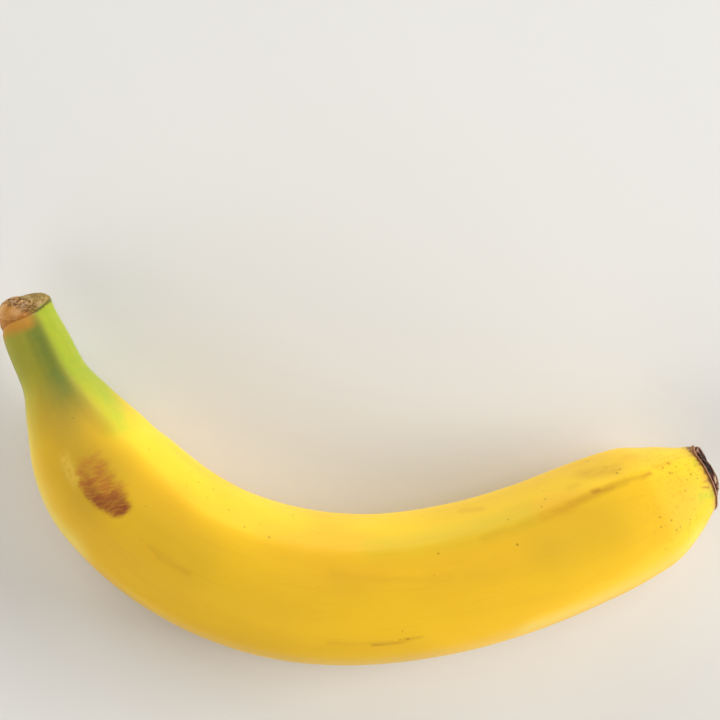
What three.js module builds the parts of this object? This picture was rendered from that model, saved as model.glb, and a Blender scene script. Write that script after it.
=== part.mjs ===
// A banana as picked: one closed body, lying on its flank, in millimetres with +Z up.
// It rests on Z = 0, with its box centred on X = 0 and Y = 0. The stem is at -X, the blossom end
// at +X, and the outside of the bend faces -Y.
//
// The body is a skin of rings strung on a spine. The spine bends in one plane, and each ring is a
// rounded pentagon, because a banana has five ridges. The rings close over the corky cut at the
// stem and over the dried stump of the flower at the other end.

import * as THREE from 'three';

// Driving dimensions

// Stations down the spine. distance: from the start. heading: degrees from +X towards +Y.
// radius: from the spine to the middle of a facet. ridge: how far the ridges stand over that,
// as a share of the radius.
const STATIONS = [
  { distance: 0, heading: -71, radius: 6.3, ridge: 0.03 },
  { distance: 5, heading: -69, radius: 6.6, ridge: 0.04 },
  { distance: 12, heading: -65, radius: 7.6, ridge: 0.08 },
  { distance: 22, heading: -64, radius: 8.0, ridge: 0.11 },
  { distance: 32, heading: -63, radius: 11.0, ridge: 0.12 },
  { distance: 45, heading: -60, radius: 15.4, ridge: 0.11 },
  { distance: 57, heading: -47, radius: 17.4, ridge: 0.10 },
  { distance: 75, heading: -34, radius: 18.0, ridge: 0.10 },
  { distance: 105, heading: -12, radius: 18.4, ridge: 0.10 },
  { distance: 131, heading: 4, radius: 18.1, ridge: 0.10 },
  { distance: 160, heading: 17, radius: 17.5, ridge: 0.10 },
  { distance: 185, heading: 24, radius: 17.0, ridge: 0.10 },
  { distance: 199, heading: 26, radius: 15.7, ridge: 0.09 },
  { distance: 208, heading: 30, radius: 12.3, ridge: 0.08 },
  { distance: 215, heading: 30, radius: 8.5, ridge: 0.05 },
  { distance: 218, heading: 30, radius: 7.1, ridge: 0.03 },
];

// Where each ridge runs round the spine, in degrees from the side that lies up, towards the inside
// of the bend, at the stem, at the belly and at the blossom end.
const RIDGES = [
  { stem: 100, belly: 98, tip: 96 },
  { stem: 22, belly: 20, tip: 30 },
  { stem: -50, belly: -60, tip: -38 },
  { stem: -124, belly: -128, tip: -118 },
  { stem: -192, belly: -196, tip: -192 },
];
// How soft a ridge's crest is, as a share of half a facet's width.
const CREST_SOFTNESS = 0.14;

// The cut at the stem. It slants, so the side that lies up is cut lower, and cork has domed over it.
const CUT = {
  distance: 2.9, // from the spine's start to the rim, on average
  slant: 3, // how much lower the rim is on the side that lies up
  saddle: 0.7, // how much further out it is at the sides
  fade: 16, // how far down the stem the rings stay slanted
  dome: 1.8, // height of the cork over the rim
  shoulder: 1.1, // how far the round edge reaches down the stem
  roundness: 6, // the higher, the sharper that edge
  relief: 0.3, // height of the cork's lumps
};

// The crease under the cork, where the dried collar meets the fresh peel.
const CREASE = {
  depth: 0.35,
  width: 0.9,
  below: 0.9, // under the rim, on the side that lies up
  drop: 3.6, // how much further down it runs on the outside of the bend
};

// The blossom end, from the lip that the peel turns in to the stump of the flower. share: of the
// radius there. rise: past the end of the spine. lump: how much of the stump's lumps it takes.
const BLOSSOM_RINGS = [
  { share: 1.03, rise: 0.4, lump: 0 },
  { share: 1.0, rise: 0.8, lump: 0 },
  { share: 0.93, rise: 0.9, lump: 0 },
  { share: 0.85, rise: 0.5, lump: 0 },
  { share: 0.74, rise: 0.5, lump: 0.4 },
  { share: 0.6, rise: 1.1, lump: 1 },
  { share: 0.45, rise: 1.9, lump: 1 },
  { share: 0.3, rise: 2.2, lump: 0.8 },
  { share: 0.14, rise: 2.0, lump: 0.4 },
];
const BLOSSOM_CENTRE_RISE = 1.8;
const STUMP_LUMP = 0.4;

// How it lies: the ends hang a little lower than the belly, and it has pressed flat where it rests.
const LEAN = THREE.MathUtils.degToRad(3.3);
const ROLL = THREE.MathUtils.degToRad(0.5);
const FLAT_DEPTH = 0.35;

// How finely the skin is divided.
const SECTORS_PER_FACET = 8;
const CORK_RING_COUNT = 7;
const RING_STEP = { least: 0.9, most: 4.4, growth: 0.26 };
const SPINE_STEP = 0.25;

const LENGTH = STATIONS[STATIONS.length - 1].distance;
const SECTORS = RIDGES.length * SECTORS_PER_FACET;

// A smooth curve through the given points that never overshoots them: a monotone cubic.
function smoothCurve(xs, ys) {
  const last = xs.length - 1;
  const widths = xs.slice(1).map((x, i) => x - xs[i]);
  const slopes = widths.map((width, i) => (ys[i + 1] - ys[i]) / width);
  const tangents = xs.map((x, i) => {
    if (i === 0) return slopes[0];
    if (i === last) return slopes[last - 1];
    if (slopes[i - 1] * slopes[i] <= 0) return 0;
    const before = 2 * widths[i] + widths[i - 1];
    const after = widths[i] + 2 * widths[i - 1];
    return (before + after) / (before / slopes[i - 1] + after / slopes[i]);
  });
  return (x) => {
    const at = THREE.MathUtils.clamp(x, xs[0], xs[last]);
    let i = 0;
    while (i < last - 1 && at >= xs[i + 1]) i += 1;
    const t = (at - xs[i]) / widths[i];
    const fromStart = (1 + 2 * t) * (1 - t) ** 2 * ys[i] + t * (1 - t) ** 2 * widths[i] * tangents[i];
    const fromEnd = t * t * (3 - 2 * t) * ys[i + 1] + t * t * (t - 1) * widths[i] * tangents[i + 1];
    return fromStart + fromEnd;
  };
}

const distances = STATIONS.map((station) => station.distance);
const headingDegrees = smoothCurve(distances, STATIONS.map((station) => station.heading));
const facetRadius = smoothCurve(distances, STATIONS.map((station) => station.radius));
const ridgeShare = smoothCurve(distances, STATIONS.map((station) => station.ridge));
const ridgeDegrees = RIDGES.map(({ stem, belly, tip }) => smoothCurve([0, LENGTH / 2, LENGTH], [stem, belly, tip]));

// The spine, walked once in small steps. Past its ends it runs straight on.
const spinePoints = [new THREE.Vector2(0, 0)];
for (let at = SPINE_STEP / 2; at < LENGTH; at += SPINE_STEP) {
  const heading = THREE.MathUtils.degToRad(headingDegrees(at));
  const step = new THREE.Vector2(Math.cos(heading), Math.sin(heading)).multiplyScalar(SPINE_STEP);
  spinePoints.push(spinePoints[spinePoints.length - 1].clone().add(step));
}

function spinePoint(distance) {
  const i = THREE.MathUtils.clamp(Math.floor(distance / SPINE_STEP), 0, spinePoints.length - 2);
  const share = distance / SPINE_STEP - i;
  return spinePoints[i].clone().lerp(spinePoints[i + 1], share);
}

// A point of the skin. share: how far out from the spine it lies, where 1 is the peel's surface.
function skinPoint(distance, sector, share) {
  const { angle, radius } = sectionAt(distance, sector);
  const heading = THREE.MathUtils.degToRad(headingDegrees(distance));
  const inward = Math.sin(angle) * radius * share;
  const upward = Math.cos(angle) * radius * share;
  const { x, y } = spinePoint(distance);
  return new THREE.Vector3(x - Math.sin(heading) * inward, y + Math.cos(heading) * inward, upward);
}

// The angle and radius of the peel at one sector of the rounded pentagon.
function sectionAt(distance, sector) {
  const facet = Math.floor(sector / SECTORS_PER_FACET);
  const next = (facet + 1) % RIDGES.length;
  // Sectors crowd towards the ridges, where the section bends most.
  const across = (1 - Math.cos((Math.PI * (sector % SECTORS_PER_FACET)) / SECTORS_PER_FACET)) / 2;
  const from = ridgeDegrees[facet](distance);
  const to = ridgeDegrees[next](distance) - (next === 0 ? 360 : 0);
  const angle = THREE.MathUtils.degToRad(THREE.MathUtils.lerp(from, to, across));
  const fromRidge = 1 - Math.abs(2 * across - 1);
  const crest = (1 - Math.hypot(fromRidge, CREST_SOFTNESS)) ** 2;
  return { angle, radius: facetRadius(distance) * (1 + ridgeShare(distance) * crest) };
}

// How far down the spine the cut's rim lies at this angle.
function rimDistance(angle, share) {
  return CUT.distance + share * CUT.slant * Math.cos(angle) + share * share * CUT.saddle * Math.cos(2 * angle);
}

// The cork, from near its middle to the round edge where the peel starts.
function corkRings() {
  const rings = [];
  for (let k = 1; k <= CORK_RING_COUNT; k += 1) {
    const share = Math.sin((Math.PI / 2) * (k / CORK_RING_COUNT));
    rings.push(ringOf((sector) => {
      const { angle } = sectionAt(0, sector);
      const edge = (CUT.dome + CUT.shoulder) * share ** CUT.roundness;
      const lumps = CUT.relief * (1 - share ** 2) * Math.sin(3 * angle + 7 * share) * Math.cos(5 * share - 2 * angle);
      return skinPoint(rimDistance(angle, share) - CUT.dome + edge - lumps, sector, share);
    }));
  }
  return rings;
}

// The peel, from the collar under the cork to the lip at the blossom end.
function peelRings() {
  const rings = [];
  let at = CUT.shoulder;
  const end = LENGTH - CUT.distance;
  while (at < end) {
    at += THREE.MathUtils.clamp(RING_STEP.growth * Math.min(at, end - at), RING_STEP.least, RING_STEP.most);
    const below = Math.min(at, end);
    rings.push(ringOf((sector) => {
      const { angle } = sectionAt(below, sector);
      const slanted = rimDistance(angle, 1) - CUT.distance;
      const distance = CUT.distance + below + slanted * Math.max(0, 1 - below / CUT.fade);
      const outside = Math.max(0, -Math.sin(angle)) ** 3;
      const fromCrease = (below - CREASE.below - CREASE.drop * outside) / CREASE.width;
      const groove = CREASE.depth * Math.exp(-fromCrease * fromCrease);
      return skinPoint(distance, sector, 1 - groove / facetRadius(distance));
    }));
  }
  return rings;
}

// The lip and the dried stump inside it.
function blossomRings() {
  return BLOSSOM_RINGS.map(({ share, rise, lump }) => ringOf((sector) => {
    const { angle } = sectionAt(LENGTH, sector);
    const lumps = STUMP_LUMP * lump * (Math.sin(3 * angle + 9 * share) + Math.sin(7 * angle - 5 * share) / 2);
    return skinPoint(LENGTH + rise + lumps, sector, share);
  }));
}

function ringOf(pointAt) {
  return Array.from({ length: SECTORS }, (unused, sector) => pointAt(sector));
}

// One closed skin over the rings, with a point in the middle of each end.
function closedSkin(firstPoint, rings, lastPoint) {
  const points = [firstPoint, ...rings.flat(), lastPoint];
  const triangles = [];
  const corner = (ring, sector) => 1 + ring * SECTORS + (sector % SECTORS);
  for (let sector = 0; sector < SECTORS; sector += 1) {
    triangles.push(0, corner(0, sector + 1), corner(0, sector));
    for (let ring = 0; ring < rings.length - 1; ring += 1) {
      const a = corner(ring, sector);
      const b = corner(ring + 1, sector);
      const c = corner(ring + 1, sector + 1);
      const d = corner(ring, sector + 1);
      triangles.push(a, c, b, a, d, c);
    }
    triangles.push(points.length - 1, corner(rings.length - 1, sector), corner(rings.length - 1, sector + 1));
  }
  const geometry = new THREE.BufferGeometry().setFromPoints(points);
  geometry.setIndex(triangles);
  return geometry;
}

// Lays the body on the surface: turned as it settles, pressed flat where it touches, and centred.
function layDown(geometry) {
  geometry.rotateX(-LEAN);
  geometry.rotateY(ROLL);
  geometry.computeBoundingBox();
  geometry.translate(0, 0, -geometry.boundingBox.min.z - FLAT_DEPTH);
  const position = geometry.attributes.position;
  for (let i = 0; i < position.count; i += 1) {
    position.setZ(i, Math.max(0, position.getZ(i)));
  }
  geometry.computeBoundingBox();
  const centre = geometry.boundingBox.getCenter(new THREE.Vector3());
  geometry.translate(-centre.x, -centre.y, 0);
  geometry.computeVertexNormals();
  return geometry;
}

function makeBanana() {
  const corkMiddle = skinPoint(CUT.distance - CUT.dome, 0, 0);
  const stumpMiddle = skinPoint(LENGTH + BLOSSOM_CENTRE_RISE, 0, 0);
  const skin = closedSkin(corkMiddle, [...corkRings(), ...peelRings(), ...blossomRings()], stumpMiddle);
  const peel = new THREE.MeshStandardMaterial({ color: 0xe8b932, roughness: 0.48, metalness: 0 });
  const banana = new THREE.Mesh(layDown(skin), peel);
  banana.name = 'banana';
  return banana;
}

const model = new THREE.Group();
model.add(makeBanana());

export default model;
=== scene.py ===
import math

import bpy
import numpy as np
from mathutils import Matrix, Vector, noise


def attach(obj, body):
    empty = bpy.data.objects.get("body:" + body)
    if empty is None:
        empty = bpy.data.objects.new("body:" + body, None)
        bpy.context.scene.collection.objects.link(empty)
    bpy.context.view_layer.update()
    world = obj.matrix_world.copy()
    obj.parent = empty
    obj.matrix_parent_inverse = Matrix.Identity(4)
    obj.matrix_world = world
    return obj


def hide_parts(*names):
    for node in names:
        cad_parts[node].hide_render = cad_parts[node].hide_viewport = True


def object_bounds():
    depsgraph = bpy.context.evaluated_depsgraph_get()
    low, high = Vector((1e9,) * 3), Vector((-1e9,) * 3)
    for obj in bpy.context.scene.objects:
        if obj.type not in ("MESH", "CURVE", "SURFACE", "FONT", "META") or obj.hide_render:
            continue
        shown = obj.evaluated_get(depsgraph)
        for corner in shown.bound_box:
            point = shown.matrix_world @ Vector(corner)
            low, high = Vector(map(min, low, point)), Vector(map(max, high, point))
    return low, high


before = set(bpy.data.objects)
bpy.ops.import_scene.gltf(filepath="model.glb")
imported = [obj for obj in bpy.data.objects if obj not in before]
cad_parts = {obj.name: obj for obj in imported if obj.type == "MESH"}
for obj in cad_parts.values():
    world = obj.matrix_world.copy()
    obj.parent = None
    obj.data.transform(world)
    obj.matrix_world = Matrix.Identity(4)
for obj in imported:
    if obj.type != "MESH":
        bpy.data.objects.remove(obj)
cad_low, cad_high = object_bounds()

# A ripe banana lying on its flank, on a pale floor. Lengths are in millimetres until a mesh is made,
# and then in metres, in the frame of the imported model.
#
# The peel, the cork on the cut stem and the dried stump of the flower are three meshes. Each is a
# grid of rings strung on the same spine, with the same ridges, as the solid that they stand for.

MM = 0.001
BODY = "root"
NODE = "banana"

# The form, as in the solid

# distance down the spine, heading from +X towards +Y in degrees, radius to the middle of a facet,
# and how far the ridges stand over that, as a share of the radius
STATIONS = np.array([
    (0, -71, 6.3, 0.03),
    (5, -69, 6.6, 0.04),
    (12, -65, 7.6, 0.08),
    (22, -64, 8.0, 0.11),
    (32, -63, 11.0, 0.12),
    (45, -60, 15.4, 0.11),
    (57, -47, 17.4, 0.10),
    (75, -34, 18.0, 0.10),
    (105, -12, 18.4, 0.10),
    (131, 4, 18.1, 0.10),
    (160, 17, 17.5, 0.10),
    (185, 24, 17.0, 0.10),
    (199, 26, 15.7, 0.09),
    (208, 30, 12.3, 0.08),
    (215, 30, 8.5, 0.05),
    (218, 30, 7.1, 0.03),
]).T
# Where each ridge runs, in degrees from the side that lies up towards the inside of the bend, at
# the stem, at the belly and at the blossom end
RIDGES = ((100, 98, 96), (22, 20, 30), (-50, -60, -38), (-124, -128, -118), (-192, -196, -192))
CREST_SOFTNESS = 0.14
# The upper ridge runs a little further in than that, most of all where the neck widens into the belly
UPPER_RIDGE_INWARD = 2.5
UPPER_RIDGE_BEND = {"degrees": 7.5, "at": 54, "reach": 19}

CUT_AT = 2.9  # from the spine's start to the rim of the cut
CUT_SLANT = 3  # how much lower the rim is on the side that lies up
CUT_SADDLE = 0.7  # how much further out it is at the sides
CUT_FADE = 16  # how far down the stem the rings stay slanted
CORK_DOME = 1.7
CORK_SHOULDER = 1.1
CORK_ROUNDNESS = 6
CORK_ASKEW = 0.6  # how much higher its dome is towards the outside of the bend
# Its crown: how high it is, how far off the middle towards the inside of the bend, and how wide
CORK_CROWN = {"height": 0.8, "inward": -1.6, "width": 2.6}
# The cork's smooth collar: the share of the way out where it starts on the side that lies up, how much
# further out that is on the inside of the bend and further in on the outside, and further out underneath
COLLAR_START = 0.9
COLLAR_SLANT = 0.4
COLLAR_UNDERNEATH = 0.5
CORK_HEM = {"back": 0.3, "ragged": 0.5, "inwards": 0.35}  # how its edge turns in over the peel
# How deep the peel is turned in under the cork, and from where to where below the rim
CORK_SEAT = {"depth": 0.3, "reach": (CORK_SHOULDER + 0.2, 0.4)}

# From the rim to the crease where the dried collar meets the fresh peel: on the side that lies up,
# on the inside of the bend, where the cork hides it, and how much further on the outside
CREASE_UP, CREASE_INSIDE, CREASE_DROP = 1.7, 0.5, 3.4
CREASE_DEPTH = 0.3
CREASE_WIDTH = 0.7
CORNER_FLARE = 0.9  # how far the cut's corner spreads on the inside of the bend
CORNER_REACH = (2, 12)

LIP_AT = 2.4  # how far before the spine's end the peel turns in
# How much further out that is on the inside of the bend, and further in on the outside
LIP_SLANT = (2.2, 1.2)
LIP_WAVES = {"height": 0.3, "size": 4.5, "seed": 10}
LIP_RADIUS = 8
LIP_FADE = 12  # how far from the end the rings stay slanted
# From there over the lip and in behind it: share of the radius there, and how far on it lies
LIP = ((1.0, 0.0), (1.015, 0.25), (1.0, 0.5), (0.965, 0.55), (0.935, 0.2), (0.88, -0.6))
# The dried stump, from under the lip to its middle
STUMP = (
    (0.88, -0.6), (0.91, 0.1), (0.9, 0.8), (0.84, 1.5), (0.74, 2.1), (0.6, 2.6), (0.45, 2.9), (0.3, 2.9),
    (0.14, 2.6), (0.01, 2.4),
)

# How it lies on the floor, and how far the solid's lip stands past the spine's end
LEAN = math.radians(3.3)
ROLL = math.radians(0.5)
SOLID_LIP_HEIGHT = 0.8

# How finely the meshes are divided. The peel's rings stand closer towards its ends
PEEL_SECTORS = 190
PEEL_STEP = {"least": 0.22, "most": 0.52, "growth": 0.05}
LIP_RINGS = 14
END_SECTORS = 240
CORK_RINGS = 84
HEM_RINGS = 12
STUMP_RINGS = 80
CORK_REACH_RINGS, BODY_REACH_RINGS = 40, 400  # of the solid, to find how far it reaches

FACETS = len(RIDGES)
FIRST_FACET = 3  # each grid starts on the ridge underneath
LENGTH = STATIONS[0][-1]
# The peel's first ring, hidden under the cork, and its last ring before the lip, from the rim of the cut
PEEL_START = 0.3
PEEL_END = LENGTH - LIP_AT - CUT_AT


def smooth_curve(xs, ys):
    """A curve through the points that never overshoots them: a monotone cubic."""
    xs, ys = np.array(xs, float), np.array(ys, float)
    widths = np.diff(xs)
    slopes = np.diff(ys) / widths
    before = 2 * widths[1:] + widths[:-1]
    after = widths[1:] + 2 * widths[:-1]
    same_way = slopes[:-1] * slopes[1:] > 0
    safe = np.where(same_way, slopes[:-1], 1), np.where(same_way, slopes[1:], 1)
    inner = np.where(same_way, (before + after) / (before / safe[0] + after / safe[1]), 0)
    tangents = np.concatenate(([slopes[0]], inner, [slopes[-1]]))

    def at(x):
        x = np.clip(x, xs[0], xs[-1])
        i = np.clip(np.searchsorted(xs, x, side="right") - 1, 0, len(widths) - 1)
        t = (x - xs[i]) / widths[i]
        from_start = (1 + 2 * t) * (1 - t) ** 2 * ys[i] + t * (1 - t) ** 2 * widths[i] * tangents[i]
        from_end = t * t * (3 - 2 * t) * ys[i + 1] + t * t * (t - 1) * widths[i] * tangents[i + 1]
        return from_start + from_end

    return at


heading_degrees = smooth_curve(STATIONS[0], STATIONS[1])
facet_radius = smooth_curve(STATIONS[0], STATIONS[2])
ridge_share = smooth_curve(STATIONS[0], STATIONS[3])
ridge_degrees = [smooth_curve((0, LENGTH / 2, LENGTH), ridge) for ridge in RIDGES]
upper_ridge_of_solid = ridge_degrees[1]


def upper_ridge(distance):
    bend = np.exp(-(((distance - UPPER_RIDGE_BEND["at"]) / UPPER_RIDGE_BEND["reach"]) ** 2))
    return upper_ridge_of_solid(distance) + UPPER_RIDGE_INWARD + UPPER_RIDGE_BEND["degrees"] * bend


ridge_degrees[1] = upper_ridge

# The spine, walked once in small steps, and straight on for a little past its ends
SPINE_MARGIN = 10
SPINE_STEP = 0.25
spine_distances = np.arange(-SPINE_MARGIN, LENGTH + SPINE_MARGIN, SPINE_STEP)
spine_headings = np.radians(heading_degrees(spine_distances))
spine_x = np.cumsum(np.cos(spine_headings)) * SPINE_STEP
spine_y = np.cumsum(np.sin(spine_headings)) * SPINE_STEP


def turns_round(sectors):
    """Where this many sectors lie round the fruit, counted in facets."""
    return FIRST_FACET + np.arange(sectors) * FACETS / sectors


def section(distance, turn):
    """Angle in radians and radius, so many facets round from the first ridge."""
    facet = np.floor(turn).astype(int)
    columns = np.arange(len(turn))
    ridges = np.stack([degrees(distance) for degrees in ridge_degrees])
    here = ridges[facet % FACETS, :, columns].T - 360 * (facet // FACETS)
    there = ridges[(facet + 1) % FACETS, :, columns].T - 360 * ((facet + 1) // FACETS)
    across = turn - facet
    from_ridge = 1 - np.abs(2 * across - 1)
    crest = (1 - np.hypot(from_ridge, CREST_SOFTNESS)) ** 2
    radius = facet_radius(distance) * (1 + ridge_share(distance) * crest)
    return np.radians(here + (there - here) * across), radius


def strung(distance, angle, radius):
    """Points at this distance down the spine, and this angle and radius round it."""
    heading = np.radians(heading_degrees(distance))
    inward = np.sin(angle) * radius
    upward = np.cos(angle) * radius
    x = np.interp(distance, spine_distances, spine_x) - np.sin(heading) * inward
    y = np.interp(distance, spine_distances, spine_y) + np.cos(heading) * inward
    return np.stack([x, y, upward], -1)


def straightened(distance, angle, radius):
    """The same points with the spine pulled straight, so that a pattern follows the fruit."""
    return np.stack([distance, np.sin(angle) * radius, np.cos(angle) * radius], -1)


def rim_below(angle, share):
    """How much further down the spine the cut lies here than its rim does on average."""
    return share * CUT_SLANT * np.cos(angle) + share * share * CUT_SADDLE * np.cos(2 * angle)


def cork_places(share, angle):
    """How far down the spine the smooth cork lies, by the share of the way out from its middle."""
    edge = (CORK_DOME + CORK_SHOULDER) * share**CORK_ROUNDNESS
    return CUT_AT + rim_below(angle, share) - CORK_DOME + edge


def lip_beyond(angle):
    """How much further down the spine the lip lies here than on average."""
    rim = straightened(LENGTH + 0 * angle, angle, facet_radius(LENGTH))
    slant = np.where(np.sin(angle) > 0, *LIP_SLANT)
    return slant * np.sin(angle) ** 3 + bumps(rim, LIP_WAVES)


def crease_below(angle):
    """How far under the rim the crease runs."""
    inside = eased(0.3, 0.75, np.sin(angle))
    outside = np.clip(-np.sin(angle), 0, 1) ** 3
    return CREASE_UP + (CREASE_INSIDE - CREASE_UP) * inside + CREASE_DROP * outside


def corner_flare(distance, angle):
    """How far the neck spreads towards the cut's corner, on the inside of the bend."""
    return CORNER_FLARE * np.clip(np.sin(angle), 0, 1) ** 1.5 * (1 - eased(*CORNER_REACH, distance))


def leant(points):
    """Turned as it settles on the floor."""
    x, y, z = np.moveaxis(points, -1, 0)
    y, z = y * math.cos(LEAN) + z * math.sin(LEAN), z * math.cos(LEAN) - y * math.sin(LEAN)
    x, z = x * math.cos(ROLL) + z * math.sin(ROLL), z * math.cos(ROLL) - x * math.sin(ROLL)
    return np.stack([x, y, z], -1)


# Relief

def lumps(places, size, seed=0):
    """Smooth noise from about -1 to 1, with lumps of this size in mm: one number, or one for each axis."""
    scaled = (places / np.array(size) + seed * 17.3).reshape(-1, 3)
    return np.array([noise.noise(Vector(place)) for place in scaled]).reshape(places.shape[:-1]) * 1.6


def bumps(places, kind):
    """Lumps of a kind, as high as it says."""
    return kind["height"] * lumps(places, kind["size"], kind["seed"])


def fibres(places, kind, swirl):
    """Noise from 0 to 1 that is 1 along thin threads of a kind, bent by a swirl of the places."""
    threads = lumps(places + kind["bent"] * swirl, kind["size"], kind["seed"])
    return 1 - np.clip(np.abs(threads) * 2.2, 0, 1)


def wander(places, size, seeds):
    """A smooth drift of the places, from about -1 to 1 along each axis."""
    return np.stack([lumps(places, size, seed) for seed in seeds], -1)


def eased(low, high, value):
    """0 below low, 1 above high, and a soft step between. It goes down where low is the higher."""
    t = np.clip((value - low) / (high - low), 0, 1)
    return t * t * (3 - 2 * t)


def place_on_peel(distance, degrees):
    """The straightened place of a mark, from its distance down the spine and its angle round it."""
    turns = np.linspace(0, 5, 500, endpoint=False)
    angles, radii = section(np.full((1, len(turns)), float(distance)), turns)
    off = np.cos(angles[0] - math.radians(degrees))
    nearest = int(np.argmax(off))
    return straightened(distance, math.radians(degrees), radii[0][nearest])


def stroke(places, start, end, width):
    """How near each place is to a line between two marks: 1 on it, 0 at half the width from it."""
    a, b = place_on_peel(*start), place_on_peel(*end)
    along = b - a
    share = np.clip((places - a) @ along / max(along @ along, 1e-9), 0, 1)
    gap = np.linalg.norm(places - a - share[..., None] * along, axis=-1)
    return 1 - eased(0, width / 2, gap)


# The peel's bumps: where they are, their height, their size down and across the fruit, and their seed
PEEL_BUMPS = (
    ("everywhere", 0.16, (30, 30), 0),
    ("everywhere", 0.05, (9, 9), 1),
    ("neck", 0.05, (26, 1.7), 2),
    ("tip", 0.07, (9, 1.5), 3),
    ("under_cork", 0.08, (0.9, 3.0), 4),
    ("dried_ends", 0.09, (1.1, 1.1), 5),
    ("beside_lip", 0.14, (2.4, 2.4), 27),
)
# Where those parts fade out or start: down the spine, from the spine's end, and from the crease
NECK_END = (26, 52)
TIP_START = (-18, -4)
DRIED_TIP_START = (-5, -2)
BESIDE_LIP_START = (-4, -2)
COLLAR_END = (-0.4, 0.8)
UNDER_CORK_END = (0, 4)

# Where the peel is green, as distance down the spine

GREEN_REACH = 27  # how far down the stem the green goes on the side that lies up
GREEN_FURTHER = 12  # and how much further on the inside of the bend
GREEN_FADE = (15, 12)
GREEN_INSIDE = (0.22, 0.58)  # where the inside of the bend starts, as the sine of the angle round the spine
GREEN_EDGE = {"height": 4, "size": (26, 9, 9), "seed": 8}
# Where the green is dull and darker beside the upper ridge, partly its own olive and partly painted shade on
# the facet that faces up, away from the light: where that starts, is full, fades and ends
DULL_AND_SHADE_REACH = (6, 12, 26, 46)
# How far out the dull green and its painted shade spread, as the sine of the angle, and how much further that
# is down the neck
DULL_AND_SHADE_SPREAD = {"outer": -0.4, "further": 0.25, "reach": (12, 28), "inner": 0.25, "least": 0.08}

# Marks on the peel, each a stroke from place to place with its width in mm and its strength. A place is a
# distance down the spine and degrees round it
GREEN_MARKS = (
    ((34, 56), (46, 38), 14, 0.8),
    ((46, 40), (56, 38), 9, 0.3),
    ((128, 30), (168, 31), 14, 0.3),
    ((144, 27), (152, 28), 8, 0.25),
    ((211, -24), (214, -33), 8, 0.7),
    ((212.5, -30), (214.2, -37), 6, 0.9),
    ((212.5, 6), (214.5, 22), 6, 0.55),
)
# Ochre marks: partly the peel's deeper ochre and partly painted shade, on the neck's facet that faces up, on
# the inside and the top of the right half, and along the edge underneath
OCHRE_AND_SHADE_MARKS = (
    ((27, -16), (54, -6), 28, 0.9),
    ((31, 18), (44, 22), 13, 0.85),
    ((150, 64), (188, 64), 26, 0.3),
    ((172, -2), (186, 2), 24, 0.35),
    ((62, 2), (84, -6), 22, 0.3),
    ((72, -82), (134, -75), 26, 0.42),
)
# Pale marks: a painted rim light, a pale painted sheen along the lower edges where the peel is seen at a
# slant
PAINTED_RIM_LIGHT_MARKS = (
    ((16, -64), (60, -66), 15, 0.8),
    ((162, -66), (206, -68), 12, 0.5),
)
BROWN_MARKS = (
    ((127, -49), (137.5, -45), 1.4, 0.55),
    ((118, -47), (131, -47), 2.6, 0.2),
    ((154, 59), (158.5, 54), 4.5, 0.3),
    ((156, 21), (172, 22), 3.6, 0.16),
    ((172, 22), (181, 23.5), 4.5, 0.3),
    ((180, 24), (187, 24), 3.4, 0.4),
    ((186.6, 26), (188, 26), 2.8, 0.75),
    ((188.3, 25), (191.5, 24), 3.4, 0.55),
    ((191, 24), (195.5, 24), 3.2, 0.4),
    ((195, 24), (199.5, 22.5), 2.2, 0.4),
    ((199.5, 22.5), (202, 23.5), 2.1, 0.6),
    ((187.5, 51), (194.5, 40), 9, 0.36),
    ((182, 40), (184, 40), 4, 0.2),
    ((74, -18), (80, -18), 2.2, 0.2),
    ((77, -21), (85, -20), 2.6, 0.2),
    ((118, 7), (146, -2), 3, 0.12),
    ((204, 29), (214.5, 38), 2.2, 0.3),
    ((207, 38), (214, 50), 1.6, 0.25),
    ((212.9, -17), (214.3, -23), 1.0, 1.0),
    ((213.6, -11), (214.6, -13), 0.9, 0.7),
)
MARKS = {"greenish": GREEN_MARKS, "ochre": OCHRE_AND_SHADE_MARKS, "pale": PAINTED_RIM_LIGHT_MARKS, "brown": BROWN_MARKS}
MARK_WANDER = {"height": 0.3, "size": 4, "seeds": (31, 32, 33)}
# The larger specks, as the photo shows them: distance, degrees, diameter in mm
SPECKS = (
    (9.4, -58, 0.6), (38, 3, 0.4), (56.9, 43, 0.5), (58, 78, 0.6), (62.2, 70, 0.5), (70.1, 58, 0.5),
    (72.5, 38, 0.5), (74.1, 51, 0.6), (78.7, 55, 0.6), (79.2, 40, 0.5), (86.4, 39, 0.6), (92.7, 28, 0.6),
    (96.3, 37, 0.5), (100, 26, 0.7), (100.9, 63, 0.5), (104.4, 62, 0.7), (112.5, 71, 0.5), (112.7, 41, 0.5),
    (117.8, 66, 0.4), (134.6, -45, 0.6), (132.9, -45, 0.4), (133.5, -38, 0.4), (142.3, 2, 0.4),
    (142.4, 67, 0.5), (144.3, 17, 0.5), (163.8, 9, 0.7), (163.9, 30, 0.5), (173.2, 31, 0.5), (175, 38, 0.6),
    (176, 50, 0.5), (183, 58, 0.4), (190.7, 74, 0.7), (193.2, 48, 0.5), (194.4, 35, 0.8), (195.7, 38, 0.5),
    (197, -44, 0.5), (198, -24, 0.5), (198.8, -16, 0.6), (201, -24, 0.6), (201.2, -34, 0.7),
    (202.3, -34, 0.5), (205.4, -35, 0.5), (206, 26, 0.6), (206.4, -6, 0.4), (206.8, -47, 0.4),
    (206.9, 18, 0.7), (207.4, 17, 0.5), (207.9, 29, 0.7), (207.9, -7, 0.5), (209.3, 23, 0.5),
    (209.9, 3, 0.5), (211.6, 7, 0.7), (212.2, -16, 0.4), (212.5, -2, 0.5), (213.1, 3, 0.4), (214, 17, 0.4),
    (215, -1, 0.6),
)

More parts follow.
